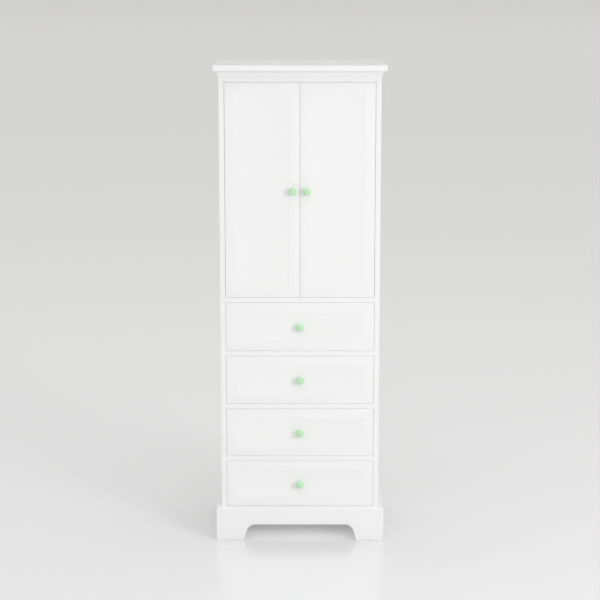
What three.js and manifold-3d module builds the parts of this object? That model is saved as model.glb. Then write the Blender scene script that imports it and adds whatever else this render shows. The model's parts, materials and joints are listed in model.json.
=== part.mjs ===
// Apothecary cabinet: a tall white-painted cupboard with a pair of doors over four drawers,
// a cove cornice under an overhanging top, and a plinth whose front is cut to an arch.
// Units are millimetres. +Z is up, the doors face -Y, and the origin lies on the floor under
// the middle of the footprint, so the object fills X -306..306, Y -220..220, Z 0..1730.

import * as THREE from 'three';
import { mergeVertices } from 'three/addons/utils/BufferGeometryUtils.js';
import Module from 'manifold-3d';

const wasm = await Module();
wasm.setup();

// ---------------------------------------------------------------- driving dimensions

const WIDTH = 612; // over the top board and the plinth
const DEPTH = 440; // over the top board and the plinth
const HEIGHT = 1730;
const BOARD = 19; // thickness of the carcass boards, the doors and the drawer fronts
const FRONT_OVERHANG = 35; // of the top board and the plinth, past the body's front
const PLINTH_HEIGHT = 120;
const SHELF_TOP = 901; // top of the fixed shelf between the doors and the drawers
const DRAWER_PITCH = 196.5; // from one drawer rail to the next
const DRAWER_COUNT = 4;
const REVEAL = 0.7; // gap above and below the doors, and all round each drawer front
const HINGE_REVEAL = 1; // gap beside a door's hinge edge, which swings
const DOOR_MEETING_GAP = 0.8;

const BACK_THICKNESS = 6;
const REBATE_WIDTH = 9; // of the rebate in each side panel that takes the back
const RAIL_DEPTH = 60; // of the rails between the drawers, front to back
const TOP_RAIL_BOTTOM = 1670;

const FRAME_WIDTH = 40; // of the flat border round each sunk panel
const PANEL_RECESS = 0.5;

const OVERCUT = 1; // how far a cutting tool runs past the face it starts from
const SAME_POINT = 1e-6; // closer than this, two outline points are one

// Adjustable shelves, and the rows of blind holes for their pins.
const SHELF_THICKNESS = 16;
const SHELF_BOTTOMS = [1160, 1435];
const SHELF_FRONT_Y = -150;
const SHELF_BACK_CLEARANCE = 2;
const SHELF_SIDE_CLEARANCE = 1;
const PIN_HOLE_RADIUS = 2.5;
const PIN_HOLE_DEPTH = 10;
const PIN_HOLE_STEP = 32;
const PIN_HOLE_STEPS = [-2, -1, 0, 1, 2]; // holes below and above each shelf's own
const PIN_ROW_YS = [-110, 170];

// Cornice: a cove between two fillets, set out from the body by its projection.
const CORNICE_HEIGHT = 22;
const COVE_START = { out: 2.5, up: 2.5 };
const COVE_END = { out: 12, up: 18 };
const COVE_CONTROL = { out: 4, up: 14 }; // pulls the cove's curve in towards the body
const CORNICE_TOP_OUT = 14;
const COVE_STEPS = 6;

// Arch in the plinth front.
const ARCH_HALF_WIDTH = 206.5; // at the floor
const ARCH_FOOT_LEAN = 8; // how far each foot's edge leans in over ARCH_FOOT_HEIGHT
const ARCH_FOOT_HEIGHT = 28;
const ARCH_FLAT_HALF_WIDTH = 166; // of the straight top
const ARCH_HEIGHT = 60;
const ARCH_CURVE_STEPS = 7;

// Drawer boxes.
const BOX_SIDE_GAP = 12.5; // each side, for the slides
const BOX_BOARD = 12;
const BOX_HEIGHT = 135;
const BOX_LENGTH = 350;
const BOX_LIFT = 16; // underside of the box above the opening
const GROOVE_LIFT = 10; // underside of the bottom's groove above the box's underside
const GROOVE_HEIGHT = 5.5;
const GROOVE_DEPTH = 6;
const BOTTOM_THICKNESS = 5;
const BOTTOM_SIDE_CLEARANCE = 0.5;

// Side-mounted drawer slides: the outer channel that is screwed to the carcass.
const SLIDE_HEIGHT = 36;
const SLIDE_DEPTH = 10;
const SLIDE_METAL = 1.5;
const SLIDE_LENGTH = 350;
const SLIDE_SETBACK = 3; // behind the back of the drawer front
const SLIDE_LIFT = 42; // underside of the slide above the box's underside

// Pivot hinges, let into the top and bottom edges of the doors.
const PIVOT_FROM_EDGE = 24; // pin centre to the door's hinge edge
const PIVOT_FROM_FRONT = 5.5; // pin centre behind the door's front face
const PIN_RADIUS = 2.5;
const PIN_LENGTH = 12.5; // out of the frame leaf
const COLLAR_RADIUS = 3.7;
const COLLAR_HEIGHT = 0.5; // carries the door a little above the frame leaf
const LEAF_THICKNESS = 2.5;
const LEAF_LENGTH = 48;
const LEAF_END = 10; // leaf end to pin centre
const LEAF_WIDTH = 13;
const LEAF_FRONT = 4; // leaf's front edge to pin centre
const LEAF_HOLE_RADIUS = 2.8;
const DOOR_HOLE_RADIUS = 3;
const DOOR_HOLE_DEPTH = 12;

// Knobs, as radius and distance out from the front they are screwed to.
const KNOB_PROFILE = [
  [7, 0],
  [6.6, 1.2],
  [5.6, 4],
  [5.4, 7],
  [6.2, 10],
  [9, 12.6],
  [12.4, 14.4],
  [13.8, 16.4],
  [14, 18.6],
  [13.3, 21.2],
  [11.2, 23.6],
  [7.5, 25.2],
];
const KNOB_PROJECTION = 26;
const KNOB_SIDES = 24;
const DOOR_KNOB_X = 25; // either side of the middle
const DOOR_KNOB_Z = 1285.5;

// ---------------------------------------------------------------- derived places

const HALF_WIDTH = WIDTH / 2;
const FLOOR_Z = 0;
const BACK_Y = DEPTH / 2;
const TOP_FRONT_Y = -DEPTH / 2;
const FRONT_Y = TOP_FRONT_Y + FRONT_OVERHANG; // the body's front plane
const SIDE_OUTER = HALF_WIDTH - BOARD; // outer face of the side panels
const SIDE_INNER = SIDE_OUTER - BOARD;
const PLINTH_BACK_Y = TOP_FRONT_Y + BOARD; // back of the plinth front
const BACK_INNER_Y = BACK_Y - BACK_THICKNESS;
const TOP_UNDERSIDE = HEIGHT - BOARD;
const BASE_BOTTOM = PLINTH_HEIGHT - BOARD;
const SHELF_UNDERSIDE = SHELF_TOP - BOARD;
const FRONT_BACK_Y = FRONT_Y + BOARD; // back of the doors and the drawer fronts

const FRONT_HALF = SIDE_INNER - REVEAL; // half width of a drawer front
const DOOR_HALF = SIDE_INNER - HINGE_REVEAL; // from the middle to a door's hinge edge
const DOOR_BOTTOM = SHELF_TOP + REVEAL;
const DOOR_TOP = TOP_RAIL_BOTTOM - REVEAL;
const PIVOT_X = DOOR_HALF - PIVOT_FROM_EDGE;
const PIVOT_Y = FRONT_Y + PIVOT_FROM_FRONT;

const BOX_OUTER = SIDE_INNER - BOX_SIDE_GAP;
const BOX_INNER = BOX_OUTER - BOX_BOARD;
const BOX_BACK_Y = FRONT_BACK_Y + BOX_LENGTH;

// Each drawer's opening, from the top one down.
const drawerOpenings = [];
for (let i = 0; i < DRAWER_COUNT; i++) {
  const top = SHELF_UNDERSIDE - DRAWER_PITCH * i;
  const isLowest = i === DRAWER_COUNT - 1;
  const bottom = isLowest ? PLINTH_HEIGHT : top - DRAWER_PITCH + BOARD;
  drawerOpenings.push({ bottom, top });
}

// ---------------------------------------------------------------- materials

const paint = { color: 0xf4f4f3, roughness: 0.45, metalness: 0 };
const materials = {
  paintedBoard: () => new THREE.MeshStandardMaterial(paint),
  liner: () => new THREE.MeshStandardMaterial({ color: 0xebebe8, roughness: 0.55, metalness: 0 }),
  backBoard: () => new THREE.MeshStandardMaterial({ color: 0xe9e9e6, roughness: 0.7, metalness: 0 }),
  mintPaint: () => new THREE.MeshStandardMaterial({ color: 0xc2e9bf, roughness: 0.4, metalness: 0 }),
  slideSteel: () => new THREE.MeshStandardMaterial({ color: 0xb9bcbf, roughness: 0.35, metalness: 1 }),
  hingeSteel: () => new THREE.MeshStandardMaterial({ color: 0xc4c2bc, roughness: 0.3, metalness: 1 }),
};

// ---------------------------------------------------------------- geometry helpers

// A box between two corners, given per axis in either order.
function block(xs, ys, zs) {
  const spans = [xs, ys, zs].map(([a, b]) => [Math.min(a, b), Math.max(a, b)]);
  const size = spans.map(([low, high]) => high - low);
  const middle = spans.map(([low, high]) => (low + high) / 2);
  return new THREE.BoxGeometry(...size).translate(...middle);
}

// A round bar along Z.
function upright(radius, x, y, zs, sides = 24) {
  const length = Math.abs(zs[1] - zs[0]);
  const bar = new THREE.CylinderGeometry(radius, radius, length, sides);
  return bar.rotateX(Math.PI / 2).translate(x, y, (zs[0] + zs[1]) / 2);
}

// A round bar along X.
function crosswise(radius, xs, y, z, sides = 12) {
  const length = Math.abs(xs[1] - xs[0]);
  const bar = new THREE.CylinderGeometry(radius, radius, length, sides);
  return bar.rotateZ(Math.PI / 2).translate((xs[0] + xs[1]) / 2, y, z);
}

function toSolid(geometry) {
  const bare = new THREE.BufferGeometry();
  bare.setAttribute('position', geometry.getAttribute('position'));
  if (geometry.index) bare.setIndex(geometry.index);
  const merged = mergeVertices(bare);
  return new wasm.Manifold(
    new wasm.Mesh({
      numProp: 3,
      vertProperties: merged.attributes.position.array,
      triVerts: new Uint32Array(merged.index.array),
    }),
  );
}

function toGeometry(solid) {
  const mesh = solid.getMesh();
  const geometry = new THREE.BufferGeometry();
  geometry.setAttribute('position', new THREE.BufferAttribute(mesh.vertProperties, 3));
  geometry.setIndex(new THREE.BufferAttribute(mesh.triVerts, 1));
  return geometry;
}

function cut(geometry, ...tools) {
  let solid = toSolid(geometry);
  for (const tool of tools) {
    solid = solid.subtract(toSolid(tool));
  }
  return toGeometry(solid);
}

function join(geometry, ...others) {
  let solid = toSolid(geometry);
  for (const other of others) {
    solid = solid.add(toSolid(other));
  }
  return toGeometry(solid);
}

// ---------------------------------------------------------------- scene graph

const cabinet = new THREE.Group();
cabinet.name = 'apothecary_cabinet';

function addPiece(group, name, geometry, material) {
  if (!geometry.getAttribute('normal')) geometry.computeVertexNormals();
  const mesh = new THREE.Mesh(geometry, material);
  mesh.name = name;
  group.add(mesh);
  return mesh;
}

// ---------------------------------------------------------------- carcass

// A side panel runs from the floor to the top board. Its foot steps forward to the plinth front,
// its back edge is rebated for the back, and its inner face is drilled for shelf pins.
function sidePanel(side) {
  const xs = [side * SIDE_INNER, side * SIDE_OUTER];
  const panel = block(xs, [FRONT_Y, BACK_Y], [FLOOR_Z, TOP_UNDERSIDE]);
  const foot = block(xs, [PLINTH_BACK_Y, FRONT_Y + BOARD], [FLOOR_Z, PLINTH_HEIGHT]);
  const rebate = block(
    [side * (SIDE_INNER - BOARD), side * (SIDE_INNER + REBATE_WIDTH)],
    [BACK_INNER_Y, BACK_Y + BOARD],
    [BASE_BOTTOM, HEIGHT],
  );
  const holes = [];
  for (const bottom of SHELF_BOTTOMS) {
    for (const step of PIN_HOLE_STEPS) {
      for (const y of PIN_ROW_YS) {
        const z = bottom - PIN_HOLE_RADIUS + step * PIN_HOLE_STEP;
        const depth = [side * (SIDE_INNER - BOARD), side * (SIDE_INNER + PIN_HOLE_DEPTH)];
        holes.push(crosswise(PIN_HOLE_RADIUS, depth, y, z));
      }
    }
  }
  return cut(join(panel, foot), rebate, ...holes);
}

// The slot for one hinge leaf, flush with the face at z; into is +1 or -1 along Z.
function leafSlot(side, z, into) {
  const end = side * (PIVOT_X + LEAF_END);
  return block(
    [end, end - side * LEAF_LENGTH],
    [PIVOT_Y - LEAF_FRONT, PIVOT_Y - LEAF_FRONT + LEAF_WIDTH],
    [z, z + into * LEAF_THICKNESS],
  );
}

function topRail() {
  const zs = [TOP_RAIL_BOTTOM, TOP_UNDERSIDE];
  const rail = block([-SIDE_INNER, SIDE_INNER], [FRONT_Y, FRONT_BACK_Y], zs);
  return cut(rail, leafSlot(-1, TOP_RAIL_BOTTOM, 1), leafSlot(1, TOP_RAIL_BOTTOM, 1));
}

function middleShelf() {
  const zs = [SHELF_UNDERSIDE, SHELF_TOP];
  const shelf = block([-SIDE_INNER, SIDE_INNER], [FRONT_Y, BACK_INNER_Y], zs);
  return cut(shelf, leafSlot(-1, SHELF_TOP, -1), leafSlot(1, SHELF_TOP, -1));
}

// The cornice's section, as projection out from the body and height above its own bottom.
function corniceSection() {
  const section = new THREE.Shape();
  section.moveTo(0, 0);
  section.lineTo(COVE_START.out, 0);
  section.lineTo(COVE_START.out, COVE_START.up);
  section.quadraticCurveTo(COVE_CONTROL.out, COVE_CONTROL.up, COVE_END.out, COVE_END.up);
  section.lineTo(CORNICE_TOP_OUT, COVE_END.up);
  section.lineTo(CORNICE_TOP_OUT, CORNICE_HEIGHT);
  section.lineTo(0, CORNICE_HEIGHT);
  const points = section.getPoints(COVE_STEPS);
  if (points[0].distanceTo(points[points.length - 1]) < SAME_POINT) points.pop();
  return points;
}

// The moulding runs along both sides and across the front, mitred at the two corners. Each
// section point is carried round the same four stations of the path.
function corniceMoulding() {
  const section = corniceSection();
  const bottom = TOP_UNDERSIDE - CORNICE_HEIGHT;
  const positions = [];
  for (const { x: out, y: up } of section) {
    const x = SIDE_OUTER + out;
    const z = bottom + up;
    positions.push(-x, BACK_Y, z, -x, FRONT_Y - out, z, x, FRONT_Y - out, z, x, BACK_Y, z);
  }
  const stations = 4;
  const index = [];
  for (let i = 0; i < section.length; i++) {
    const next = (i + 1) % section.length;
    for (let s = 0; s < stations - 1; s++) {
      const a = i * stations + s;
      const b = next * stations + s;
      index.push(a, a + 1, b, b, a + 1, b + 1);
    }
  }
  for (const [p, q, r] of THREE.ShapeUtils.triangulateShape(section, [])) {
    const last = stations - 1;
    index.push(p * stations, q * stations, r * stations);
    index.push(p * stations + last, r * stations + last, q * stations + last);
  }
  const geometry = new THREE.BufferGeometry();
  geometry.setAttribute('position', new THREE.Float32BufferAttribute(positions, 3));
  geometry.setIndex(flipIfInsideOut(positions, index));
  return geometry;
}

// Turns every face round when the signed volume is negative.
function flipIfInsideOut(positions, index) {
  const corner = (i) => new THREE.Vector3().fromArray(positions, 3 * i);
  let volume = 0;
  for (let t = 0; t < index.length; t += 3) {
    const [a, b, c] = [0, 1, 2].map((k) => corner(index[t + k]));
    volume += a.dot(b.cross(c));
  }
  if (volume > 0) return index;
  const turned = [];
  for (let t = 0; t < index.length; t += 3) turned.push(index[t], index[t + 2], index[t + 1]);
  return turned;
}

// The plinth front: a board with an arch, whose feet lean in a little before they curve over.
function plinthFront() {
  const outline = new THREE.Shape();
  const leanX = ARCH_HALF_WIDTH - ARCH_FOOT_LEAN;
  const cornerX = ARCH_HALF_WIDTH - (ARCH_FOOT_LEAN * ARCH_HEIGHT) / ARCH_FOOT_HEIGHT;
  outline.moveTo(-HALF_WIDTH, FLOOR_Z);
  outline.lineTo(-ARCH_HALF_WIDTH, FLOOR_Z);
  outline.lineTo(-leanX, ARCH_FOOT_HEIGHT);
  outline.quadraticCurveTo(-cornerX, ARCH_HEIGHT, -ARCH_FLAT_HALF_WIDTH, ARCH_HEIGHT);
  outline.lineTo(ARCH_FLAT_HALF_WIDTH, ARCH_HEIGHT);
  outline.quadraticCurveTo(cornerX, ARCH_HEIGHT, leanX, ARCH_FOOT_HEIGHT);
  outline.lineTo(ARCH_HALF_WIDTH, FLOOR_Z);
  outline.lineTo(HALF_WIDTH, FLOOR_Z);
  outline.lineTo(HALF_WIDTH, PLINTH_HEIGHT);
  outline.lineTo(-HALF_WIDTH, PLINTH_HEIGHT);
  outline.closePath();
  const board = new THREE.ExtrudeGeometry(outline, {
    depth: BOARD,
    bevelEnabled: false,
    curveSegments: ARCH_CURVE_STEPS,
  });
  // The extrusion runs along +Z; this turn stands it up with its back at PLINTH_BACK_Y.
  return board.rotateX(Math.PI / 2).translate(0, PLINTH_BACK_Y, 0);
}

function slideChannel(side, boxBottom) {
  const bottom = boxBottom + SLIDE_LIFT;
  const front = FRONT_BACK_Y + SLIDE_SETBACK;
  const ys = [front, front + SLIDE_LENGTH];
  const xs = [side * (SIDE_INNER - SLIDE_DEPTH), side * SIDE_INNER];
  const bar = block(xs, ys, [bottom, bottom + SLIDE_HEIGHT]);
  const hollow = block(
    [side * (SIDE_INNER - SLIDE_DEPTH - BOARD), side * (SIDE_INNER - SLIDE_METAL)],
    [ys[0] - BOARD, ys[1] + BOARD],
    [bottom + SLIDE_METAL, bottom + SLIDE_HEIGHT - SLIDE_METAL],
  );
  return cut(bar, hollow);
}

// A frame leaf: a flush plate with a round collar and a pin that stands out of it towards the door.
function hingeFrameLeaf(side, z, out) {
  const plate = leafSlot(side, z, -out);
  const root = z - out * (LEAF_THICKNESS / 2); // collar and pin start inside the plate
  const x = side * PIVOT_X;
  const collar = upright(COLLAR_RADIUS, x, PIVOT_Y, [root, z + out * COLLAR_HEIGHT]);
  const pin = upright(PIN_RADIUS, x, PIVOT_Y, [root, z + out * PIN_LENGTH]);
  return join(plate, collar, pin);
}

function buildCarcass() {
  const group = new THREE.Group();
  const { paintedBoard, backBoard, liner, slideSteel, hingeSteel } = materials;
  const sides = { left: -1, right: 1 };

  for (const [word, side] of Object.entries(sides)) {
    addPiece(group, `${word}_side_panel`, sidePanel(side), paintedBoard());
    const plinthXs = [side * SIDE_OUTER, side * HALF_WIDTH];
    const plinthSide = block(plinthXs, [PLINTH_BACK_Y, BACK_Y], [FLOOR_Z, PLINTH_HEIGHT]);
    addPiece(group, `plinth_${word}`, plinthSide, paintedBoard());
  }
  addPiece(group, 'plinth_front', plinthFront(), paintedBoard());

  const bayXs = [-SIDE_INNER, SIDE_INNER];
  const base = block(bayXs, [PLINTH_BACK_Y, BACK_INNER_Y], [BASE_BOTTOM, PLINTH_HEIGHT]);
  addPiece(group, 'base_board', base, paintedBoard());
  addPiece(group, 'middle_shelf', middleShelf(), paintedBoard());
  addPiece(group, 'top_rail', topRail(), paintedBoard());
  const top = block([-HALF_WIDTH, HALF_WIDTH], [TOP_FRONT_Y, BACK_Y], [TOP_UNDERSIDE, HEIGHT]);
  addPiece(group, 'top_board', top, paintedBoard());
  addPiece(group, 'cornice_moulding', corniceMoulding(), paintedBoard());

  const backHalf = SIDE_INNER + REBATE_WIDTH;
  const back = block([-backHalf, backHalf], [BACK_INNER_Y, BACK_Y], [BASE_BOTTOM, TOP_UNDERSIDE]);
  addPiece(group, 'back_panel', back, backBoard());

  for (let i = 1; i < DRAWER_COUNT; i++) {
    const bottom = SHELF_UNDERSIDE - DRAWER_PITCH * i;
    const rail = block(bayXs, [FRONT_Y, FRONT_Y + RAIL_DEPTH], [bottom, bottom + BOARD]);
    addPiece(group, `drawer_rail_${i}`, rail, paintedBoard());
  }

  const shelfHalf = SIDE_INNER - SHELF_SIDE_CLEARANCE;
  const shelfYs = [SHELF_FRONT_Y, BACK_INNER_Y - SHELF_BACK_CLEARANCE];
  SHELF_BOTTOMS.forEach((bottom, i) => {
    const shelf = block([-shelfHalf, shelfHalf], shelfYs, [bottom, bottom + SHELF_THICKNESS]);
    addPiece(group, `adjustable_shelf_${i + 1}`, shelf, liner());
  });

  drawerOpenings.forEach((opening, i) => {
    for (const [word, side] of Object.entries(sides)) {
      const channel = slideChannel(side, opening.bottom + BOX_LIFT);
      addPiece(group, `slide_${i + 1}_${word}_channel`, channel, slideSteel());
    }
  });

  for (const [word, side] of Object.entries(sides)) {
    const upper = hingeFrameLeaf(side, TOP_RAIL_BOTTOM, -1);
    const lower = hingeFrameLeaf(side, SHELF_TOP, 1);
    addPiece(group, `hinge_${word}_upper_frame_leaf`, upper, hingeSteel());
    addPiece(group, `hinge_${word}_lower_frame_leaf`, lower, hingeSteel());
  }
  return group;
}

// ---------------------------------------------------------------- knobs and fronts

// A turned knob on a waisted stem, pointing along -Y from (x, y, z).
function knob(x, y, z) {
  const outline = [[0, 0], ...KNOB_PROFILE, [0, KNOB_PROJECTION]];
  const profile = outline.map(([radius, out]) => new THREE.Vector2(radius, out));
  const turned = new THREE.LatheGeometry(profile, KNOB_SIDES);
  return turned.rotateX(Math.PI).translate(x, y, z);
}

// A door or drawer front with a flat border round a sunk flat panel.
function panelledFront(xs, zs) {
  const slab = block(xs, [FRONT_Y, FRONT_BACK_Y], zs);
  const sunk = block(
    [xs[0] + FRAME_WIDTH, xs[1] - FRAME_WIDTH],
    [FRONT_Y - BOARD, FRONT_Y + PANEL_RECESS],
    [zs[0] + FRAME_WIDTH, zs[1] - FRAME_WIDTH],
  );
  return cut(slab, sunk);
}

// A door leaf: the flush plate in the door's edge, with the hole that the pin turns in.
function hingeDoorLeaf(side, z, into) {
  const zs = [z - into * OVERCUT, z + into * (LEAF_THICKNESS + OVERCUT)];
  const hole = upright(LEAF_HOLE_RADIUS, side * PIVOT_X, PIVOT_Y, zs);
  return cut(leafSlot(side, z, into), hole);
}

function buildDoor(word, side) {
  const group = new THREE.Group();
  const xs = [side * DOOR_HALF, (side * DOOR_MEETING_GAP) / 2].sort((a, b) => a - b);
  const slab = panelledFront(xs, [DOOR_BOTTOM, DOOR_TOP]);
  const x = side * PIVOT_X;
  const door = cut(
    slab,
    leafSlot(side, DOOR_TOP, -1),
    leafSlot(side, DOOR_BOTTOM, 1),
    upright(DOOR_HOLE_RADIUS, x, PIVOT_Y, [DOOR_TOP - DOOR_HOLE_DEPTH, DOOR_TOP + OVERCUT]),
    upright(DOOR_HOLE_RADIUS, x, PIVOT_Y, [DOOR_BOTTOM - OVERCUT, DOOR_BOTTOM + DOOR_HOLE_DEPTH]),
  );
  const doorKnob = knob(side * DOOR_KNOB_X, FRONT_Y, DOOR_KNOB_Z);
  const upper = hingeDoorLeaf(side, DOOR_TOP, -1);
  const lower = hingeDoorLeaf(side, DOOR_BOTTOM, 1);
  addPiece(group, `door_${word}_panel`, door, materials.paintedBoard());
  addPiece(group, `door_${word}_knob`, doorKnob, materials.mintPaint());
  addPiece(group, `hinge_${word}_upper_door_leaf`, upper, materials.hingeSteel());
  addPiece(group, `hinge_${word}_lower_door_leaf`, lower, materials.hingeSteel());
  return group;
}

// ---------------------------------------------------------------- drawers

// The groove that holds a drawer's bottom, from xs and ys, at its height above the box.
function bottomGroove(xs, ys, boxBottom) {
  const low = boxBottom + GROOVE_LIFT;
  return block(xs, ys, [low, low + GROOVE_HEIGHT]);
}

function buildDrawer(number, opening) {
  const group = new THREE.Group();
  const name = `drawer_${number}`;
  const boxBottom = opening.bottom + BOX_LIFT;
  const boxTop = boxBottom + BOX_HEIGHT;
  const grooveTop = boxBottom + GROOVE_LIFT + GROOVE_HEIGHT;
  const grooveHalf = BOX_INNER + GROOVE_DEPTH;
  const frontZs = [opening.bottom + REVEAL, opening.top - REVEAL];

  // The front's back face carries the same groove as the sides.
  const grooveYs = [FRONT_BACK_Y - GROOVE_DEPTH, FRONT_BACK_Y + OVERCUT];
  const frontGroove = bottomGroove([-grooveHalf, grooveHalf], grooveYs, boxBottom);
  const front = cut(panelledFront([-FRONT_HALF, FRONT_HALF], frontZs), frontGroove);
  addPiece(group, `${name}_front`, front, materials.paintedBoard());

  for (const [word, side] of Object.entries({ left: -1, right: 1 })) {
    const boardXs = [side * BOX_INNER, side * BOX_OUTER];
    const board = block(boardXs, [FRONT_BACK_Y, BOX_BACK_Y], [boxBottom, boxTop]);
    const groove = bottomGroove(
      [side * (BOX_INNER - OVERCUT), side * grooveHalf],
      [FRONT_BACK_Y - OVERCUT, BOX_BACK_Y + OVERCUT],
      boxBottom,
    );
    addPiece(group, `${name}_side_${word}`, cut(board, groove), materials.liner());
  }

  // The back stops above the groove, so that the bottom slides in under it.
  const backYs = [BOX_BACK_Y - BOX_BOARD, BOX_BACK_Y];
  const back = block([-BOX_INNER, BOX_INNER], backYs, [grooveTop, boxTop]);
  addPiece(group, `${name}_back`, back, materials.liner());

  const bottomHalf = grooveHalf - BOTTOM_SIDE_CLEARANCE;
  const bottomFront = FRONT_BACK_Y - GROOVE_DEPTH + BOTTOM_SIDE_CLEARANCE;
  const bottomLow = boxBottom + GROOVE_LIFT + (GROOVE_HEIGHT - BOTTOM_THICKNESS) / 2;
  const bottomZs = [bottomLow, bottomLow + BOTTOM_THICKNESS];
  const bottom = block([-bottomHalf, bottomHalf], [bottomFront, BOX_BACK_Y], bottomZs);
  addPiece(group, `${name}_bottom`, bottom, materials.backBoard());

  const knobZ = (frontZs[0] + frontZs[1]) / 2;
  addPiece(group, `${name}_knob`, knob(0, FRONT_Y + PANEL_RECESS, knobZ), materials.mintPaint());
  return group;
}

// ---------------------------------------------------------------- assembly

cabinet.add(buildCarcass());
cabinet.add(buildDoor('left', -1));
cabinet.add(buildDoor('right', 1));
drawerOpenings.forEach((opening, i) => cabinet.add(buildDrawer(i + 1, opening)));

export default cabinet;
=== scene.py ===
import json
import math

import bmesh
import bpy
from mathutils import Matrix, Vector


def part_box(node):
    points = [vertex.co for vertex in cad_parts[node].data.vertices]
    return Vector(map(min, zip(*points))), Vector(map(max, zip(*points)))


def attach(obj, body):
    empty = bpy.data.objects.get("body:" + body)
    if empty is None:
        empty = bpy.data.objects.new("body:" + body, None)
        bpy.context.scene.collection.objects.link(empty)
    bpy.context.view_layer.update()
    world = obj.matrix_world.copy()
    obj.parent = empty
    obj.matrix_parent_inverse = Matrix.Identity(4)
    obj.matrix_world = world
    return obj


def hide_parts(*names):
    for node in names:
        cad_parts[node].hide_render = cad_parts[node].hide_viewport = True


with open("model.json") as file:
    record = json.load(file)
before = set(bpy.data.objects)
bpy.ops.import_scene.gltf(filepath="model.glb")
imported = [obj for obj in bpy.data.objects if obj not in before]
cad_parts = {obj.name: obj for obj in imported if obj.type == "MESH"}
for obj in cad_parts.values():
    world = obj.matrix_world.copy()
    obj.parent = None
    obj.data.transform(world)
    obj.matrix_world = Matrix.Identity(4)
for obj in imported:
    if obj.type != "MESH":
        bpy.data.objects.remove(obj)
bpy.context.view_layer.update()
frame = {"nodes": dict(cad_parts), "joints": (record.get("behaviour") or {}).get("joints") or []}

# The looks of a tall white cabinet: two panelled doors over four drawers, mint knobs, a cove
# cornice and an arched plinth. Metres, +Z up, the doors face -Y, as in the CAD frame.

MM = 0.001
scene = bpy.context.scene
SIDES = {"left": -1, "right": 1}
DRAWERS = (1, 2, 3, 4)

# Sizes that the CAD solids don't state by themselves.
FRAME_WIDTH = 40 * MM  # flat border of the doors and drawer fronts
PANEL_RECESS = 0.5 * MM
ARCH_HALF_WIDTH = 206.5 * MM  # arch in the plinth front, at the floor
ARCH_FOOT_LEAN = 8 * MM
ARCH_FOOT_HEIGHT = 28 * MM
ARCH_FLAT_HALF_WIDTH = 166 * MM
ARCH_HEIGHT = 60 * MM
PIN_ROW_YS = (-110 * MM, 170 * MM)  # rows of shelf-pin holes
PIN_HOLE_RADIUS = 2.5 * MM
DOOR_HOLE_RADIUS = 3 * MM  # clearance round the hinge pins


# ---------------------------------------------------------------- materials

def set_range(node, from_low, from_high, to_low, to_high):
    """Sets a Map Range node's four numbers."""
    node.inputs["From Min"].default_value = from_low
    node.inputs["From Max"].default_value = from_high
    node.inputs["To Min"].default_value = to_low
    node.inputs["To Max"].default_value = to_high


class Surface:
    """A procedural material: a Principled shader and short calls that wire textures to it."""

    def __init__(self, name, metallic=0.0, specular=0.5, ior=1.5):
        self.material = bpy.data.materials.new(name)
        self.material.use_nodes = True
        self.nodes = self.material.node_tree.nodes
        self.links = self.material.node_tree.links
        self.shader = self.nodes["Principled BSDF"]
        self.shader.inputs["Metallic"].default_value = metallic
        self.shader.inputs["Specular IOR Level"].default_value = specular
        self.shader.inputs["IOR"].default_value = ior
        self.place = self.nodes.new("ShaderNodeTexCoord").outputs["Object"]

    def stretched(self, scale):
        """The object's coordinates, scaled differently along each axis."""
        node = self.nodes.new("ShaderNodeMapping")
        node.inputs["Scale"].default_value = scale
        self.links.new(self.place, node.inputs["Vector"])
        return node.outputs["Vector"]

    def noise(self, scale, detail=2.0, rough=0.5, place=None):
        node = self.nodes.new("ShaderNodeTexNoise")
        node.inputs["Scale"].default_value = scale
        node.inputs["Detail"].default_value = detail
        node.inputs["Roughness"].default_value = rough
        self.links.new(place or self.place, node.inputs["Vector"])
        return node.outputs["Fac"]

    def cells(self, scale):
        node = self.nodes.new("ShaderNodeTexVoronoi")
        node.inputs["Scale"].default_value = scale
        self.links.new(self.place, node.inputs["Vector"])
        return node.outputs["Distance"]

    def height(self):
        """The object's Z."""
        node = self.nodes.new("ShaderNodeSeparateXYZ")
        self.links.new(self.place, node.inputs["Vector"])
        return node.outputs["Z"]

    def remap(self, value, to_low, to_high, from_low=0.0, from_high=1.0):
        node = self.nodes.new("ShaderNodeMapRange")
        set_range(node, from_low, from_high, to_low, to_high)
        self.links.new(value, node.inputs["Value"])
        return node.outputs["Result"]

    def times(self, a, b):
        node = self.nodes.new("ShaderNodeMath")
        node.operation = "MULTIPLY"
        self.links.new(a, node.inputs[0])
        self.links.new(b, node.inputs[1])
        return node.outputs["Value"]

    def mixed(self, share, a, b):
        """A colour between a and b, each a colour or an output."""
        node = self.nodes.new("ShaderNodeMix")
        node.data_type = "RGBA"
        self.links.new(share, node.inputs["Factor"])
        for key, value in (("A", a), ("B", b)):
            if isinstance(value, tuple):
                node.inputs[key].default_value = (*value, 1.0)
            else:
                self.links.new(value, node.inputs[key])
        return node.outputs["Result"]

    def colour(self, value):
        self.links.new(value, self.shader.inputs["Base Color"])

    def roughness(self, value):
        self.links.new(value, self.shader.inputs["Roughness"])

    def bump(self, height, distance, strength=1.0):
        node = self.nodes.new("ShaderNodeBump")
        node.inputs["Distance"].default_value = distance
        node.inputs["Strength"].default_value = strength
        self.links.new(height, node.inputs["Height"])
        self.links.new(node.outputs["Normal"], self.shader.inputs["Normal"])


def shade(colour, factor):
    return tuple(channel * factor for channel in colour)


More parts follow.
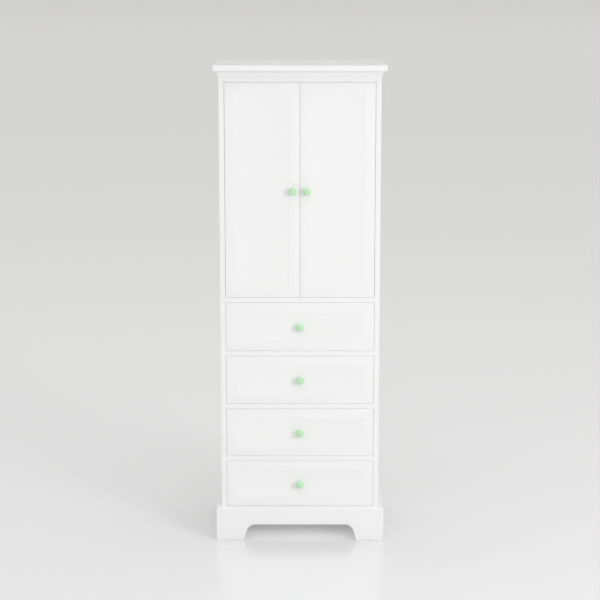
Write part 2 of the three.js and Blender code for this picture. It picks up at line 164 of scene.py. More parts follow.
def make_white_paint():
    """Satin paint, sprayed on: a fine orange peel, uneven roughness, faint scuffs by the floor."""
    s = Surface("white_paint")
    white = (0.905, 0.905, 0.907)
    drift = s.mixed(s.noise(2.5, 3.0), shade(white, 0.99), white)
    scuffs_end = 60 * MM
    low_down = s.remap(s.height(), 1.0, 0.0, 0.0, scuffs_end)
    scuffs = s.times(low_down, s.remap(s.noise(60.0, 5.0, 0.6), 0.0, 0.2, 0.45, 0.8))
    s.colour(s.mixed(scuffs, drift, (0.70, 0.70, 0.68)))
    s.roughness(s.remap(s.noise(14.0, 3.0), 0.13, 0.18, 0.3, 0.7))
    s.bump(s.noise(420.0, 2.0), 0.004 * MM)
    return s.material


def make_liner_board():
    """White melamine with the fine pebble of its facing paper."""
    s = Surface("liner_board")
    white = (0.86, 0.86, 0.85)
    s.colour(s.mixed(s.noise(9.0, 4.0), shade(white, 0.975), white))
    s.roughness(s.remap(s.noise(40.0, 2.0), 0.42, 0.55, 0.3, 0.7))
    s.bump(s.cells(700.0), 0.08 * MM, 0.5)
    return s.material


def make_thin_board():
    """Hardboard with a thin white lacquer that lets a little of its fibre show."""
    s = Surface("thin_board", specular=0.35)
    white = (0.84, 0.84, 0.825)
    fibre = s.noise(260.0, 6.0, 0.7, place=s.stretched((1.0, 1.0, 0.35)))
    s.colour(s.mixed(s.remap(fibre, 0.0, 1.0, 0.35, 0.75), white, shade(white, 0.95)))
    s.roughness(s.remap(s.noise(60.0, 2.0), 0.55, 0.7, 0.3, 0.7))
    s.bump(fibre, 0.12 * MM, 0.6)
    return s.material


def make_mint_paint():
    """Satin mint paint over turned wood: faint grain under the paint, a little cloudiness."""
    s = Surface("mint_paint")
    mint = (0.545, 0.83, 0.53)
    s.colour(s.mixed(s.noise(90.0, 4.0), shade(mint, 0.95), mint))
    s.roughness(s.remap(s.noise(160.0, 3.0), 0.34, 0.46, 0.3, 0.7))
    grain = s.noise(420.0, 3.0, 0.6, place=s.stretched((1.0, 0.25, 1.0)))
    s.bump(grain, 0.05 * MM, 0.6)
    return s.material


def make_zinc():
    """Bright zinc plate on rolled steel: lines along the rolling, a little dulling."""
    s = Surface("zinc_plate", metallic=1.0)
    rolled = s.noise(220.0, 4.0, 0.6, place=s.stretched((6.0, 0.12, 6.0)))
    cloud = s.noise(35.0, 4.0)
    s.colour(s.mixed(cloud, (0.56, 0.57, 0.59), (0.66, 0.66, 0.66)))
    s.roughness(s.remap(rolled, 0.26, 0.44, 0.3, 0.7))
    s.bump(rolled, 0.02 * MM, 0.6)
    return s.material


def make_nickel():
    """Nickel plate, tumbled: short random scratches and a soft shine."""
    s = Surface("nickel_plate", metallic=1.0)
    cloud = s.noise(120.0, 4.0)
    s.colour(s.mixed(cloud, (0.62, 0.60, 0.57), (0.72, 0.70, 0.66)))
    s.roughness(s.remap(s.noise(500.0, 4.0, 0.7), 0.2, 0.36, 0.3, 0.7))
    s.bump(s.noise(1500.0, 3.0, 0.7), 0.01 * MM, 0.5)
    return s.material


def make_white_plastic():
    """Moulded white plastic with a spark-eroded texture."""
    s = Surface("white_plastic")
    s.colour(s.mixed(s.noise(30.0, 2.0), (0.80, 0.80, 0.78), (0.83, 0.83, 0.81)))
    s.roughness(s.remap(s.noise(80.0, 2.0), 0.4, 0.5, 0.3, 0.7))
    s.bump(s.noise(2200.0, 1.0), 0.03 * MM, 0.5)
    return s.material


def make_ferrite():
    """Dark pressed ferrite of the catch's magnets."""
    s = Surface("ferrite", specular=0.4)
    s.colour(s.mixed(s.noise(700.0, 3.0), (0.035, 0.035, 0.037), (0.06, 0.06, 0.062)))
    s.roughness(s.remap(s.noise(300.0, 2.0), 0.5, 0.65, 0.3, 0.7))
    s.bump(s.noise(1800.0, 2.0), 0.03 * MM, 0.6)
    return s.material


white_paint = make_white_paint()
liner_board = make_liner_board()
thin_board = make_thin_board()
mint_paint = make_mint_paint()
zinc = make_zinc()
nickel = make_nickel()
white_plastic = make_white_plastic()
ferrite = make_ferrite()


# ---------------------------------------------------------------- mesh helpers

def add_block(bm, low, high):
    """A box between two corners, given in either order."""
    xs, ys, zs = (sorted(pair) for pair in zip(low, high))
    corners = [bm.verts.new((x, y, z)) for x in xs for y in ys for z in zs]
    sides_x = ((0, 1, 3, 2), (4, 6, 7, 5))
    sides_y = ((0, 4, 5, 1), (2, 3, 7, 6))
    sides_z = ((0, 2, 6, 4), (1, 5, 7, 3))
    for quad in sides_x + sides_y + sides_z:
        bm.faces.new([corners[i] for i in quad])


def add_turned(bm, profile, foot, direction, sides=48):
    """A turned solid on an axis from foot along direction. profile is (radius, height) pairs."""
    axis = Vector(direction).normalized()
    across = axis.orthogonal().normalized()
    up = axis.cross(across)
    rings = []
    for radius, height in profile:
        centre = Vector(foot) + axis * height
        if radius == 0:
            rings.append([bm.verts.new(centre)])
            continue
        ring = []
        for i in range(sides):
            angle = 2 * math.pi * i / sides
            outward = across * math.cos(angle) + up * math.sin(angle)
            ring.append(bm.verts.new(centre + outward * radius))
        rings.append(ring)
    for lower, upper in zip(rings, rings[1:]):
        for i in range(sides):
            j = (i + 1) % sides
            if len(lower) == 1:
                bm.faces.new((lower[0], upper[j], upper[i]))
            elif len(upper) == 1:
                bm.faces.new((lower[i], lower[j], upper[0]))
            else:
                bm.faces.new((lower[i], lower[j], upper[j], upper[i]))
    for ring in (rings[0], rings[-1]):
        if len(ring) > 1:
            bm.faces.new(ring)


def add_loft(bm, loops):
    """Joins equal closed loops of points, one after the other, and fills the two ends."""
    rings = [[bm.verts.new(point) for point in loop] for loop in loops]
    count = len(rings[0])
    for lower, upper in zip(rings, rings[1:]):
        for i in range(count):
            j = (i + 1) % count
            bm.faces.new((lower[i], lower[j], upper[j], upper[i]))
    bm.faces.new(rings[0])
    bm.faces.new(rings[-1])


def add_shape(bm, shape, foot, direction):
    """A copy of a bmesh made along +Z, stood on foot and turned to direction."""
    turn = Vector(direction).to_track_quat("Z", "Y").to_matrix().to_4x4()
    copy = shape.copy()
    bmesh.ops.transform(copy, matrix=Matrix.Translation(foot) @ turn, verts=copy.verts)
    mesh = bpy.data.meshes.new("copy")
    copy.to_mesh(mesh)
    copy.free()
    bm.from_mesh(mesh)
    bpy.data.meshes.remove(mesh)


def arc(centre, radius, start, end, steps):
    """Points on an arc in a plane, angles in degrees."""
    points = []
    for i in range(steps + 1):
        angle = math.radians(start + (end - start) * i / steps)
        along, up = radius * math.cos(angle), radius * math.sin(angle)
        points.append((centre[0] + along, centre[1] + up))
    return points


def bezier(a, control, b, steps):
    """Points after a, up to b, on a quadratic curve."""
    points = []
    for i in range(1, steps + 1):
        t = i / steps
        wa, wc, wb = (1 - t) ** 2, 2 * t * (1 - t), t * t
        points.append(tuple(wa * p + wc * c + wb * q for p, c, q in zip(a, control, b)))
    return points


def catmull_rom(a, b, c, d, t):
    """The number at t from 0 to 1, between b and c."""
    square = 2 * a - 5 * b + 4 * c - d
    cube = 3 * b - a - 3 * c + d
    return 0.5 * (2 * b + (c - a) * t + square * t ** 2 + cube * t ** 3)


def smooth_line(points, steps):
    """A Catmull-Rom curve through the points."""
    line = []
    padded = [points[0], *points, points[-1]]
    for four in zip(padded, padded[1:], padded[2:], padded[3:]):
        for k in range(steps):
            line.append(tuple(catmull_rom(*numbers, k / steps) for numbers in zip(*four)))
    line.append(points[-1])
    return line


def to_mesh(name, bm):
    bmesh.ops.recalc_face_normals(bm, faces=bm.faces)
    mesh = bpy.data.meshes.new(name)
    bm.to_mesh(mesh)
    bm.free()
    return mesh


def add_bevel(obj, width):
    ease = obj.modifiers.new("ease", "BEVEL")
    ease.width = width
    ease.segments = 2
    ease.limit_method = "ANGLE"
    ease.angle_limit = math.radians(40)
    ease.use_clamp_overlap = False


def make_piece(name, bm, material, body, replaces=None, smooth=None, bevel=None):
    """Turns a bmesh into a piece that rides on a body, and stands for the CAD node it replaces.
    smooth is the angle in degrees above which an edge stays sharp."""
    mesh = to_mesh(name, bm)
    mesh.materials.append(material)
    if smooth is not None:
        mesh.polygons.foreach_set("use_smooth", [True] * len(mesh.polygons))
        mesh.set_sharp_from_angle(angle=math.radians(smooth))
    obj = bpy.data.objects.new(name, mesh)
    scene.collection.objects.link(obj)
    if bevel:
        add_bevel(obj, bevel)
    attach(obj, body)
    if replaces:
        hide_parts(replaces)


def combine(bm, operation, others):
    """bm with the other bmeshes joined on (UNION) or cut away (DIFFERENCE), as a new bmesh."""
    target = bpy.data.objects.new("target", to_mesh("target", bm))
    scene.collection.objects.link(target)
    made = [target]
    for other in others:
        tool = bpy.data.objects.new("tool", to_mesh("tool", other))
        scene.collection.objects.link(tool)
        made.append(tool)
        cut = target.modifiers.new("cut", "BOOLEAN")
        cut.operation = operation
        cut.solver = "EXACT"
        cut.object = tool
    result = bmesh.new()
    evaluated = target.evaluated_get(bpy.context.evaluated_depsgraph_get())
    mesh = evaluated.to_mesh()
    result.from_mesh(mesh)
    evaluated.to_mesh_clear()
    for obj in made:
        mesh = obj.data
        bpy.data.objects.remove(obj)
        bpy.data.meshes.remove(mesh)
    return result


# ---------------------------------------------------------------- CAD boards that stay

def dress(node, material, ease):
    """Gives a CAD node its finish, and eases its edges."""
    obj = frame["nodes"][node]
    for i in range(len(obj.material_slots)):
        obj.material_slots[i].link = "OBJECT"
        obj.material_slots[i].material = material
    weld = obj.modifiers.new("weld", "WELD")
    weld.merge_threshold = 0.01 * MM
    flat = obj.modifiers.new("flat", "DECIMATE")
    flat.decimate_type = "DISSOLVE"
    flat.angle_limit = math.radians(0.5)
    add_bevel(obj, ease)


def dress_boards():
    for node in ("left_side_panel", "right_side_panel", "middle_shelf", "top_rail", "base_board"):
        dress(node, white_paint, 0.45 * MM)
    for i in (1, 2, 3):
        dress(f"drawer_rail_{i}", white_paint, 0.45 * MM)
    for node in ("plinth_left", "plinth_right"):
        dress(node, white_paint, 0.8 * MM)
    dress("top_board", white_paint, 1.2 * MM)
    for i in (1, 2):
        dress(f"adjustable_shelf_{i}", liner_board, 0.6 * MM)
    for i in DRAWERS:
        for part in ("side_left", "side_right", "back"):
            dress(f"drawer_{i}_{part}", liner_board, 0.6 * MM)
        dress(f"drawer_{i}_bottom", thin_board, 0.2 * MM)
        for side in SIDES:
            dress(f"slide_{i}_{side}_channel", zinc, 0.6 * MM)
    for side in SIDES:
        for level in ("upper", "lower"):
            for half in ("frame", "door"):
                dress(f"hinge_{side}_{level}_{half}_leaf", nickel, 0.25 * MM)


# ---------------------------------------------------------------- cornice and plinth front

def cornice_section():
    """(out, up) points of the moulding: bottom fillet, cove, top fillet, in metres."""
    r = 0.5
    points = [(0, 0)]
    points += arc((2.5 - r, r), r, -90, 0, 3)
    points += arc((2.5 - r, 2.5 - r), r, 0, 90, 3)[:-1]
    points += [(2.35, 2.5)]
    points += bezier((2.35, 2.5), (3.6, 14.5), (12, 18), 14)
    points += arc((14 - r, 18 + r), r, -90, 0, 3)
    points += [(14, 22), (0, 22)]
    return [(out * MM, up * MM) for out, up in points]


def make_cornice():
    """Three lengths of moulding, with hairline open mitres."""
    low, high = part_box("cornice_moulding")
    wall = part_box("right_side_panel")[1].x
    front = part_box("top_rail")[0].y
    back = high.y
    section = cornice_section()
    joint = 0.04 * MM

    def side_run(sign):
        start = [(sign * (wall + out), back, low.z + up) for out, up in section]
        end = [(sign * (wall + out), front - out + joint, low.z + up) for out, up in section]
        return [start, end]

    def front_end(sign):
        return [(sign * (wall + out - joint), front - out, low.z + up) for out, up in section]

    runs = {
        "cornice_left": side_run(-1),
        "cornice_front": [front_end(-1), front_end(1)],
        "cornice_right": side_run(1),
    }
    for name, loops in runs.items():
        bm = bmesh.new()
        add_loft(bm, loops)
        replaced = "cornice_moulding" if name == "cornice_front" else None
        make_piece(name, bm, white_paint, "carcass", replaced, smooth=30)


def plinth_outline():
    """(x, z) of the plinth front, anticlockwise from the lower left corner."""
    low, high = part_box("plinth_front")
    lean_x = ARCH_HALF_WIDTH - ARCH_FOOT_LEAN
    corner_x = ARCH_HALF_WIDTH - ARCH_FOOT_LEAN * ARCH_HEIGHT / ARCH_FOOT_HEIGHT
    right = [(ARCH_HALF_WIDTH, 0.0), (lean_x, ARCH_FOOT_HEIGHT)]
    right += bezier(right[-1], (corner_x, ARCH_HEIGHT), (ARCH_FLAT_HALF_WIDTH, ARCH_HEIGHT), 20)
    left = [(-x, z) for x, z in right]
    upper = [(high.x, high.z), (low.x, high.z)]
    return [(low.x, low.z), *left, *reversed(right), (high.x, low.z), *upper]


def make_plinth_front():
    low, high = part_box("plinth_front")
    bm = bmesh.new()
    add_loft(bm, [[(x, y, z) for x, z in plinth_outline()] for y in (low.y, high.y)])
    name = "plinth_front_board"
    make_piece(name, bm, white_paint, "carcass", "plinth_front", bevel=1.0 * MM)


# ---------------------------------------------------------------- doors and drawer fronts

def front_section(depth):
    """(inset, y) of a panelled front, from its back round the edge to the sunk panel. depth is
    its thickness in millimetres."""
    ease = 0.4
    steps = 4
    border, recess = FRAME_WIDTH / MM, PANEL_RECESS / MM
    lip = recess / 2
    points = arc((ease, depth - ease), ease, 90, 180, steps)
    points += arc((ease, ease), ease, 180, 270, steps)
    points += arc((border - lip, lip), lip, 270, 360, steps)
    points += arc((border + lip, recess - lip), lip, 180, 90, steps)[1:]
    return [(inset * MM, y * MM) for inset, y in points]


def panelled_front(node, cutters):
    low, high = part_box(node)
    loops = []
    for inset, y in front_section((high.y - low.y) / MM):
        x0, x1, z0, z1 = low.x + inset, high.x - inset, low.z + inset, high.z - inset
        corners = ((x0, z0), (x1, z0), (x1, z1), (x0, z1))
        loops.append([(x, low.y + y, z) for x, z in corners])
    bm = bmesh.new()
    add_loft(bm, loops)
    return combine(bm, "DIFFERENCE", cutters)


def hinge_pin(side):
    """x and y of a hinge's axis, from its joint."""
    joint = next(j for j in frame["joints"] if j["name"] == f"door_{side}_hinge")
    return joint["pos_m"][0], joint["pos_m"][1]


def make_door(side):
    """A door, with mortises for its hinge leaves and holes for their pins."""
    node = f"door_{side}_panel"
    slots, holes = bmesh.new(), bmesh.new()
    x, y = hinge_pin(side)
    fit, over, reach = 0.15 * MM, 1 * MM, 12 * MM
    hole = [(DOOR_HOLE_RADIUS, 0), (DOOR_HOLE_RADIUS, reach + over)]
    for level in ("upper", "lower"):
        low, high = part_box(f"hinge_{side}_{level}_door_leaf")
        below, above = (fit, over) if level == "upper" else (over, fit)
        start = high.z - reach if level == "upper" else low.z - over
        near = (low.x - fit, low.y - fit, low.z - below)
        far = (high.x + fit, high.y + fit, high.z + above)
        add_block(slots, near, far)
        add_turned(holes, hole, (x, y, start), (0, 0, 1), 32)
    bm = panelled_front(node, (slots, holes))
    name, rides = f"door_{side}_board", f"door_{side}"
    make_piece(name, bm, white_paint, rides, node, smooth=30)


def make_drawer_front(i):
    """A drawer front, with a groove in its back for the drawer's bottom."""
    node = f"drawer_{i}_front"
    groove = bmesh.new()
    low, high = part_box(f"drawer_{i}_bottom")
    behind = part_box(node)[1].y + 1 * MM
    fit = 0.25 * MM
    near = (low.x - fit, low.y - fit, low.z - fit)
    add_block(groove, near, (high.x + fit, behind, high.z + fit))
    bm = panelled_front(node, (groove,))
    name, rides = f"drawer_{i}_front_board", f"drawer_{i}"
    make_piece(name, bm, white_paint, rides, node, smooth=30)


# ---------------------------------------------------------------- knobs and screws

KNOB_LINE = (  # (radius, height) in millimetres: foot, neck and head
    (7.1, 0.0), (7.0, 0.7), (6.3, 2.0), (5.6, 4.2), (5.4, 7.0), (6.2, 9.8), (8.6, 12.2),
    (11.6, 13.9), (13.5, 15.8), (14.0, 18.3), (13.5, 20.9), (12.0, 23.0), (9.4, 24.6),
    (5.6, 25.6), (0.0, 26.0),
)


def make_knob(body):
    node = f"{body}_knob"
    low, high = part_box(node)
    x, z = (low.x + high.x) / 2, (low.z + high.z) / 2
    line = [(max(radius, 0.0) * MM, height * MM) for radius, height in smooth_line(KNOB_LINE, 4)]
    bm = bmesh.new()
    add_turned(bm, [(0, 0), *line], (x, high.y, z), (0, -1, 0), 64)
    make_piece(f"{body}_turned_knob", bm, mint_paint, body, node, smooth=50)


def cross_cut(arm, half, low, high):
    """The two bars of a cross, to cut from a head that faces +Z."""
    bars = []
    for a, b in ((arm, half), (half, arm)):
        bar = bmesh.new()
        add_block(bar, (-a, -b, low), (a, b, high))
        bars.append(bar)
    return bars


def cross_head(radius, height, crown):
    """A screw head along +Z with a cross recess: a low dome over a short rim."""
    bm = bmesh.new()
    angles = (0, 0.35, 0.7, 1.05, 1.35)
    dome = [(radius * math.cos(a), height + crown * math.sin(a)) for a in angles]
    profile = [(0, 0), (radius, 0), *dome, (0, height + crown)]
    add_turned(bm, profile, (0, 0, 0), (0, 0, 1), 28)
    top = height + crown + 1 * MM
    bars = cross_cut(radius * 0.55, radius * 0.13, height * 0.35, top)
    return combine(bm, "DIFFERENCE", bars)


pan_head = cross_head(4.2 * MM, 1.4 * MM, 0.9 * MM)
small_pan_head = cross_head(2.9 * MM, 0.9 * MM, 0.5 * MM)
flush_head = cross_head(3.3 * MM, 0.25 * MM, 0.12 * MM)
sunk_head = cross_head(2.9 * MM, 0.5 * MM, 0.2 * MM)


def make_screws(name, head, feet, direction, body):
    bm = bmesh.new()
    for foot in feet:
        add_shape(bm, head, foot, direction)
    make_piece(name, bm, nickel, body, smooth=35)


def make_knob_screw(body, front):
    """The machine screw that holds a knob, with its washer, on the back of the front."""
    low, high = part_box(f"{body}_knob")
    x, z = (low.x + high.x) / 2, (low.z + high.z) / 2
    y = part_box(front)[1].y
    rim, thick, ease = 5.5 * MM, 0.9 * MM, 0.3 * MM
    washer = [(0, 0), (rim, 0), (rim, thick - ease), (rim - ease, thick), (0, thick)]
    bm = bmesh.new()
    add_turned(bm, washer, (x, y, z), (0, 1, 0))
    add_shape(bm, pan_head, (x, y + thick, z), (0, 1, 0))
    make_piece(f"{body}_knob_screw", bm, nickel, body, smooth=35)


def make_hinge_screws(side):
    """Two flush screws in each leaf, clear of the pin."""
    x = hinge_pin(side)[0]
    inward = -SIDES[side]
    sunk = 0.1 * MM
    for level in ("upper", "lower"):
        for half, body in (("frame", "carcass"), ("door", f"door_{side}")):
            low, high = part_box(f"hinge_{side}_{level}_{half}_leaf")
            y = (low.y + high.y) / 2
            seat, out = {
                ("upper", "frame"): (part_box("top_rail")[0].z, -1),
                ("lower", "frame"): (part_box("middle_shelf")[1].z, 1),
                ("upper", "door"): (high.z, 1),
                ("lower", "door"): (low.z, -1),
            }[level, half]
            feet = [(x + inward * along * MM, y, seat - out * sunk) for along in (13, 29)]
            name = f"hinge_{side}_{level}_{half}_screws"
            make_screws(name, flush_head, feet, (0, 0, out), body)


# ---------------------------------------------------------------- drawer slides and boxes

SLIDE_RUNNER_HALF = 11 * MM  # half height of the drawer member
SLIDE_RUNNER_DEPTH = 9.5 * MM
SLIDE_METAL = 1.2 * MM
BALL_RADIUS = 2.4 * MM
BALL_ROW = 13.75 * MM  # height of each row of balls over or under the slide's middle
BALLS_IN_ROW = 7
CAGE_METAL = 0.7 * MM


def slide_places(i, side):
    """Sign, drawer side's outer face, slide's middle height, and its front and back y."""
    low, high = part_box(f"slide_{i}_{side}_channel")
    outer = max(abs(corner.x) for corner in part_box(f"drawer_{i}_side_{side}"))
    return SIDES[side], outer, (low.z + high.z) / 2, low.y, high.y


def make_slide_runner(i, side):
    """The drawer's half of a slide, a C-section with its lips outward, and its screws."""
    sign, face, middle, front, back = slide_places(i, side)
    h, t, d = SLIDE_RUNNER_HALF, SLIDE_METAL, SLIDE_RUNNER_DEPTH
    section = [
        (0, -h), (d, -h), (d, -h + t), (t, -h + t), (t, h - t), (d, h - t), (d, h), (0, h),
    ]
    ends = (front - 1 * MM, back - 7 * MM)
    bm = bmesh.new()
    add_loft(bm, [[(sign * (face + x), y, middle + z) for x, z in section] for y in ends])
    name, rides = f"slide_{i}_{side}_runner", f"drawer_{i}"
    make_piece(name, bm, zinc, rides, bevel=0.5 * MM)
    along = (front + 30 * MM, (front + back) / 2, back - 40 * MM)
    feet = [(sign * (face + t), y, middle) for y in along]
    make_screws(f"{name}_screws", small_pan_head, feet, (sign, 0, 0), rides)


def make_slide_cage(i, side):
    """The folded ball cage at the mouth of the carcass channel, and its two rows of balls."""
    sign, face, middle, front, _ = slide_places(i, side)
    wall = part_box("right_side_panel")[0].x
    ball_x = (face + wall) / 2 + 0.5 * MM
    start, length = front + 4 * MM, 96 * MM
    lip, web, row, t = ball_x - 3.2 * MM, wall - 2.4 * MM, BALL_ROW, CAGE_METAL / 2
    inside = web - CAGE_METAL
    section = [
        (lip, -row - t), (web, -row - t), (web, row + t), (lip, row + t),
        (lip, row - t), (inside, row - t), (inside, -row + t), (lip, -row + t),
    ]
    ends = (start, start + length)
    bm = bmesh.new()
    add_loft(bm, [[(sign * x, y, middle + z) for x, z in section] for y in ends])
    make_piece(f"slide_{i}_{side}_ball_cage", bm, zinc, "carcass")
    angles = [math.pi * n / 8 for n in range(1, 8)]
    profile = [(BALL_RADIUS * math.sin(a), -BALL_RADIUS * math.cos(a)) for a in angles]
    profile = [(0, -BALL_RADIUS), *profile, (0, BALL_RADIUS)]
    balls = bmesh.new()
    for up in (-1, 1):
        for k in range(BALLS_IN_ROW):
            y = start + length * (k + 0.5) / BALLS_IN_ROW
            add_turned(balls, profile, (sign * ball_x, y, middle + up * row), (0, 0, 1), 14)
    make_piece(f"slide_{i}_{side}_balls", balls, zinc, "carcass", smooth=40)


def make_channel_screws(i, side):
    """Two screws through the carcass channel's web."""
    sign, _, middle, front, back = slide_places(i, side)
    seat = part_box("right_side_panel")[0].x - 1.5 * MM
    feet = [(sign * seat, y, middle) for y in ((front + back) / 2, back - 30 * MM)]
    name = f"slide_{i}_{side}_channel_screws"
    make_screws(name, small_pan_head, feet, (-sign, 0, 0), "carcass")


def cam_lock():
    """A 15 mm cam, flush in a board, with its cross slot."""
    radius, thick, ease = 7.3 * MM, 0.6 * MM, 0.3 * MM
    profile = [(0, 0), (radius, 0), (radius, 0.35 * MM), (radius - ease, thick), (0, thick)]
    bm = bmesh.new()
    add_turned(bm, profile, (0, 0, 0), (0, 0, 1), 32)
    bars = cross_cut(4.2 * MM, 0.7 * MM, 0.15 * MM, 2 * MM)
    return combine(bm, "DIFFERENCE", bars)


cam_shape = cam_lock()


def make_drawer_fittings(i):
    """Cams that pull the sides to the front, and screws through the sides into the back."""
    body = f"drawer_{i}"
    cam_back, cam_heights = 34 * MM, (38 * MM, 108 * MM)
    screw_back, screw_heights, sunk = 6 * MM, (24 * MM, 118 * MM), 0.05 * MM
    cams, screws = bmesh.new(), bmesh.new()
    for side, sign in SIDES.items():
        low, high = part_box(f"drawer_{i}_side_{side}")
        inner, outer = sorted((abs(low.x), abs(high.x)))
        for up in cam_heights:
            add_shape(cams, cam_shape, (sign * inner, low.y + cam_back, low.z + up), (-sign, 0, 0))
        for up in screw_heights:
            foot = (sign * (outer - sunk), high.y - screw_back, low.z + up)
            add_shape(screws, flush_head, foot, (sign, 0, 0))
    make_piece(f"drawer_{i}_cams", cams, zinc, body, smooth=35)
    make_piece(f"drawer_{i}_side_screws", screws, nickel, body, smooth=35)
    low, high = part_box(f"drawer_{i}_bottom")
    feet = [(x, high.y - screw_back, low.z) for x in (-180 * MM, 0.0, 180 * MM)]
    make_screws(f"drawer_{i}_bottom_screws", small_pan_head, feet, (0, 0, -1), body)


# ---------------------------------------------------------------- shelf pins, catch, back

def make_shelf_pins(i):
    """Four steel pins with a flat ledge, in the holes under an adjustable shelf."""
    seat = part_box(f"adjustable_shelf_{i}")[0].z
    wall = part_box("right_side_panel")[0].x
    z = seat - PIN_HOLE_RADIUS
    depth, shank, collar, ease = 8.5 * MM, 2.3 * MM, 4.5 * MM, 0.4 * MM
    rim, end = depth + 0.8 * MM, depth + 1.2 * MM
    profile = [
        (0, 0), (shank - ease, 0), (shank, ease), (shank, depth),
        (collar, depth), (collar, rim), (collar - ease, end), (0, end),
    ]
    for side, sign in SIDES.items():
        for place, y in zip(("front", "back"), PIN_ROW_YS):
            pin, ledge, rib = bmesh.new(), bmesh.new(), bmesh.new()
            add_turned(pin, profile, (sign * (wall + depth), y, z), (-sign, 0, 0), 24)
            near, far = sign * (wall - 1 * MM), sign * (wall - 11 * MM)
            add_block(ledge, (near, y - 4 * MM, seat - 1.4 * MM), (far, y + 4 * MM, seat))
            near, far = sign * (wall - 1.1 * MM), sign * (wall - 7 * MM)
            add_block(rib, (near, y - 1 * MM, z - 2 * MM), (far, y + 1 * MM, seat - 1 * MM))
            bm = combine(pin, "UNION", (ledge, rib))
            name = f"shelf_{i}_pin_{side}_{place}"
            make_piece(name, bm, nickel, "carcass", smooth=35)


def make_catch():
    """A double magnetic catch on the back of the top rail, and a steel strike on each door."""
    low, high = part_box("top_rail")
    door_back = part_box("door_left_panel")[1].y
    strike = 1.0 * MM
    face = door_back + strike + 0.3 * MM
    half, deep, thin = 34 * MM, face + 14 * MM, face + 5 * MM
    foot, lip = low.z - 16 * MM, low.z + 3 * MM
    step, head = low.z + 4 * MM, low.z + 24 * MM
    section = [
        (face, foot), (deep, foot), (deep, step), (thin, step),
        (thin, head), (high.y, head), (high.y, lip), (face, lip),
    ]
    bm = bmesh.new()
    add_loft(bm, [[(x, y, z) for y, z in section] for x in (-half, half)])
    make_piece("catch_housing", bm, white_plastic, "carcass", bevel=0.8 * MM)
    proud, bar = 0.2 * MM, 1.2 * MM
    magnets = bmesh.new()
    for sign in SIDES.values():
        for z in (low.z - 11.5 * MM, low.z - 5.5 * MM):
            near = (sign * 8 * MM, face - proud, z - bar)
            add_block(magnets, near, (sign * 28 * MM, face + 2 * MM, z + bar))
    make_piece("catch_magnets", magnets, ferrite, "carcass", bevel=0.15 * MM)
    feet = [(x, thin, low.z + 14 * MM) for x in (-20 * MM, 20 * MM)]
    make_screws("catch_screws", small_pan_head, feet, (0, 1, 0), "carcass")
    for side, sign in SIDES.items():
        plate = bmesh.new()
        near = (sign * 6 * MM, door_back, foot)
        add_block(plate, near, (sign * 30 * MM, door_back + strike, low.z - 4 * MM))
        name, rides = f"door_{side}_strike", f"door_{side}"
        make_piece(name, plate, zinc, rides, bevel=0.3 * MM)


def back_screw_places(low, high):
    """(x, z) of the screws: up both edges, and along the two shelves behind the panel."""
    inset, end, rows = 4.5 * MM, 40 * MM, 9
    places = []
    for k in range(rows):
        z = low.z + end + (high.z - low.z - 2 * end) * k / (rows - 1)
        places += [(low.x + inset, z), (high.x - inset, z)]
    for board in ("base_board", "middle_shelf"):
        board_low, board_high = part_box(board)
        z = (board_low.z + board_high.z) / 2
        places += [(x * MM, z) for x in (-200, -100, 0, 100, 200)]
    return places


def make_back():
    """The back panel, with screws in countersinks round it."""
    low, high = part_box("back_panel")
    radius, depth, over = 3.4 * MM, 1.6 * MM, 0.5 * MM
    cone = [(0, 0), (radius - depth, 0), (radius, depth), (radius, depth + over), (0, depth + over)]
    places = back_screw_places(low, high)
    sinks = bmesh.new()
    for x, z in places:
        add_turned(sinks, cone, (x, high.y - depth, z), (0, 1, 0), 24)
    bm = bmesh.new()
    add_block(bm, low, (high.x, high.y - 0.01 * MM, high.z))
    bm = combine(bm, "DIFFERENCE", (sinks,))
    make_piece("back_board", bm, thin_board, "carcass", "back_panel")
    feet = [(x, high.y - depth / 2, z) for x, z in places]
    make_screws("back_screws", sunk_head, feet, (0, 1, 0), "carcass")


# ---------------------------------------------------------------- the pieces

dress_boards()
make_cornice()
make_plinth_front()
make_catch()
make_back()
for shelf in (1, 2):
    make_shelf_pins(shelf)
for side_name in SIDES:
    make_door(side_name)
    make_knob(f"door_{side_name}")
    make_knob_screw(f"door_{side_name}", f"door_{side_name}_panel")
    make_hinge_screws(side_name)
for number in DRAWERS:
    make_drawer_front(number)
    make_knob(f"drawer_{number}")
    make_knob_screw(f"drawer_{number}", f"drawer_{number}_front")
    make_drawer_fittings(number)
    for side_name in SIDES:
        make_slide_runner(number, side_name)
        make_slide_cage(number, side_name)
        make_channel_screws(number, side_name)
for shape in (pan_head, small_pan_head, flush_head, sunk_head, cam_shape):
    shape.free()


# ---------------------------------------------------------------- floor, lights, camera

def make_floor():
    """A very wide, pale, slightly glossy studio floor."""
    s = Surface("studio_floor", ior=1.45)
    s.shader.inputs["Base Color"].default_value = (0.80, 0.80, 0.80, 1)
    s.shader.inputs["Roughness"].default_value = 0.15
    reach = 200.0
    corners = ((-reach, -reach), (reach, -reach), (reach, reach), (-reach, reach))
    bm = bmesh.new()
    bm.faces.new([bm.verts.new((x, y, 0)) for x, y in corners])
    mesh = to_mesh("floor", bm)
    mesh.materials.append(s.material)
    floor = bpy.data.objects.new("floor", mesh)
    floor.location.z = -0.2 * MM
    scene.collection.objects.link(floor)


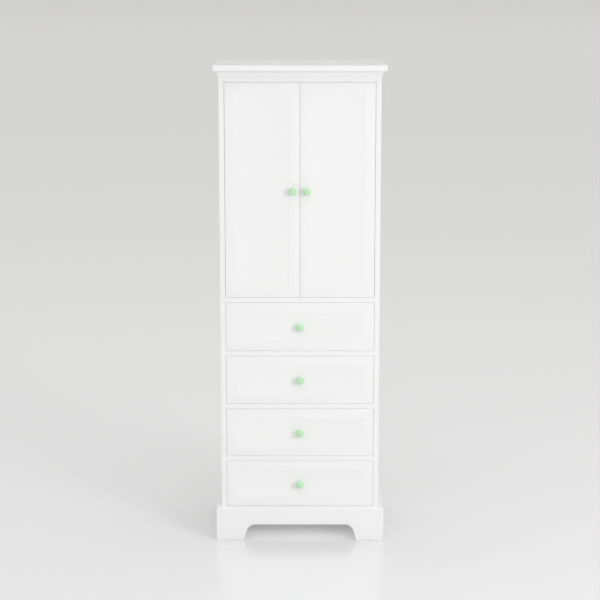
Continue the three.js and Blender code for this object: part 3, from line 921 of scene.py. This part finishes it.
def make_world():
    """A pale room, warm at the horizon, brighter overhead and in front of the doors. Where it is
    seen directly, its horizon is as pale as the far floor."""
    world = bpy.data.worlds.new("studio")
    scene.world = world
    world.use_nodes = True
    nodes, links = world.node_tree.nodes, world.node_tree.links
    split = nodes.new("ShaderNodeSeparateXYZ")
    links.new(nodes.new("ShaderNodeTexCoord").outputs["Generated"], split.inputs["Vector"])

    def ramp(axis, start, end, low, high):
        node = nodes.new("ShaderNodeMapRange")
        node.interpolation_type = "SMOOTHSTEP"
        set_range(node, start, end, low, high)
        links.new(split.outputs[axis], node.inputs["Value"])
        return node.outputs["Result"]

    def mix(share, low, high):
        node = nodes.new("ShaderNodeMix")
        node.data_type = "RGBA"
        links.new(share, node.inputs["Factor"])
        node.inputs["A"].default_value = low
        node.inputs["B"].default_value = high
        return node

    seen = nodes.new("ShaderNodeLightPath").outputs["Is Camera Ray"]
    horizon = mix(seen, (0.553, 0.546, 0.534, 1), (0.62, 0.618, 0.612, 1))
    sky = mix(ramp("Z", 0.3, 1.0, 0.0, 1.0), (0, 0, 0, 1), (1.27, 1.28, 1.29, 1))
    links.new(horizon.outputs["Result"], sky.inputs["A"])
    background = nodes["Background"]
    links.new(sky.outputs["Result"], background.inputs["Color"])
    links.new(ramp("Y", 0.0, -1.0, 1.0, 1.2), background.inputs["Strength"])


def add_softbox(name, size, place, aim, watts):
    """An area light that isn't seen, either directly or mirrored."""
    light = bpy.data.lights.new(name, "AREA")
    light.shape = "RECTANGLE"
    light.size, light.size_y = size
    light.energy = watts
    obj = bpy.data.objects.new(name, light)
    obj.location = place
    obj.rotation_euler = (Vector(aim) - Vector(place)).to_track_quat("-Z", "Y").to_euler()
    obj.visible_camera = False
    obj.visible_glossy = False
    scene.collection.objects.link(obj)


def make_lights():
    """A soft key from the front right, and a weak light for what bounces in under the base."""
    centre = Vector((0, -0.2, 0.87))
    azimuth, climb, distance = math.radians(42), math.radians(13), 6.5
    level, up = distance * math.cos(climb), distance * math.sin(climb)
    key = centre + Vector((level * math.sin(azimuth), -level * math.cos(azimuth), up))
    add_softbox("key", (1.7, 1.7), key, centre, 121)
    add_softbox("arch_fill", (0.5, 0.06), (0, -0.17, 0.1), (0, -0.17, 0), 0.12)


def make_camera():
    """A long lens in front of the doors, a little over the top board, looking slightly down."""
    camera = bpy.data.cameras.new("camera")
    camera.sensor_width = 36
    camera.lens = 101.04
    obj = bpy.data.objects.new("camera", camera)
    obj.location = (0, -6.136, 2.024)
    obj.rotation_euler = (math.radians(79.23), 0, 0)
    scene.collection.objects.link(obj)
    scene.camera = obj


make_floor()
make_world()
make_lights()
make_camera()
scene.view_settings.view_transform = "Standard"
